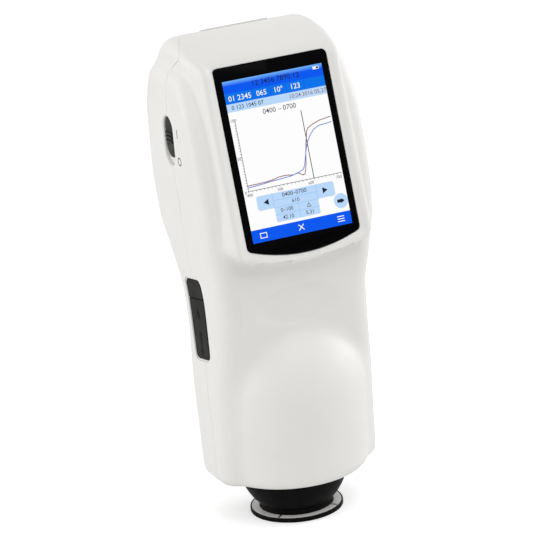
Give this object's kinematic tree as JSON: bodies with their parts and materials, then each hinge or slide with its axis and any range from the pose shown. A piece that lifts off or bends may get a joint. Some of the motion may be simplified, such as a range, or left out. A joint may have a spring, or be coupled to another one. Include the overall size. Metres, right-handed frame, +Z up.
{
  "type": "handheld colorimeter",
  "caption": "Handheld reflectance colorimeter with a slanted touch screen on a white two-shell housing, black measuring nose and round locating plate.",
  "frame": {"origin": "centre of the footprint at the floor, under the locating plate", "axes": "+Z up along the measuring axis, -Y towards the screen side, +X to the right seen from the screen side"},
  "size_m": [0.079, 0.0824, 0.2153],
  "materials": {
    "housing_white": "fine matt white moulded plastic",
    "black_plastic": "satin black moulded plastic",
    "dark_grey_plastic": "matt dark grey plastic",
    "dark_rubber": "matt dark grey rubber",
    "screen_glass": "glossy black cover glass",
    "lens_glass": "clear polished glass",
    "diffuser_white": "matt white diffusing coating",
    "circuit_board": "green circuit board",
    "lamp": "pale yellow lamp cover",
    "battery_wrap": "blue plastic wrap",
    "steel": "plated steel"
  },
  "bodies": {
    "housing": {"battery_contact_1": "steel", "battery_contact_2": "steel", "battery_pack": "battery_wrap", "battery_tray": "black_plastic", "board_screw_1": "steel", "board_screw_2": "steel", "board_screw_3": "steel", "board_screw_4": "steel", "bracket_screw_1": "steel", "bracket_screw_2": "steel", "bracket_screw_3": "steel", "bracket_screw_4": "steel", "collecting_lens": "lens_glass", "data_socket": "steel", "dc_jack": "black_plastic", "detector_board": "circuit_board", "front_shell": "housing_white", "grating": "lens_glass", "housing_screw_1": "steel", "housing_screw_2": "steel", "housing_screw_3": "steel", "housing_screw_4": "steel", "key_board": "circuit_board", "key_switch": "black_plastic", "lamp_1": "lamp", "lamp_2": "lamp", "lamp_3": "lamp", "lamp_4": "lamp", "lamp_5": "lamp", "lamp_6": "lamp", "lamp_board": "circuit_board", "lens_tube": "black_plastic", "locating_face": "housing_white", "locating_plate": "black_plastic", "main_board": "circuit_board", "nose_dome": "black_plastic", "port_board": "circuit_board", "port_cover_tab": "dark_rubber", "port_tray": "dark_grey_plastic", "power_switch": "black_plastic", "rear_shell": "housing_white", "screen_bracket": "steel", "screen_glass": "screen_glass", "screen_panel": "screen_glass", "spectrometer_body": "black_plastic", "spectrometer_lid": "black_plastic", "sphere_lower": "diffuser_white", "sphere_upper": "diffuser_white", "switch_plate": "housing_white"},
    "power_slider": {"power_slider": "dark_grey_plastic"},
    "measuring_key": {"measuring_key": "dark_grey_plastic"},
    "port_cover": {"port_cover_flap": "dark_rubber"},
    "battery_cover": {"battery_cover": "housing_white"}
  },
  "joints": [
    {"name": "power_switch_slide", "type": "slide", "parent": "housing", "child": "power_slider", "axis": [0, 0, 1], "range_m": [-0.003, 0]},
    {"name": "measuring_key_press", "type": "slide", "parent": "housing", "child": "measuring_key", "axis": [0, -0.9336, 0.3584], "range_m": [0, 0.001], "stiffness_N_per_m": 700, "springref_m": -0.001},
    {"name": "port_cover_hinge", "type": "hinge", "parent": "housing", "child": "port_cover", "pos_m": [-0.03516, 0.00286, 0.10196], "axis": [0, 0.9866, -0.1633], "range_deg": [0, 100], "stiffness_Nm_per_rad": 0.002, "springref_deg": -11.46},
    {"name": "battery_cover_slide", "type": "slide", "parent": "housing", "child": "battery_cover", "axis": [0, 1, 0], "range_m": [0, 0.03]}
  ]
}
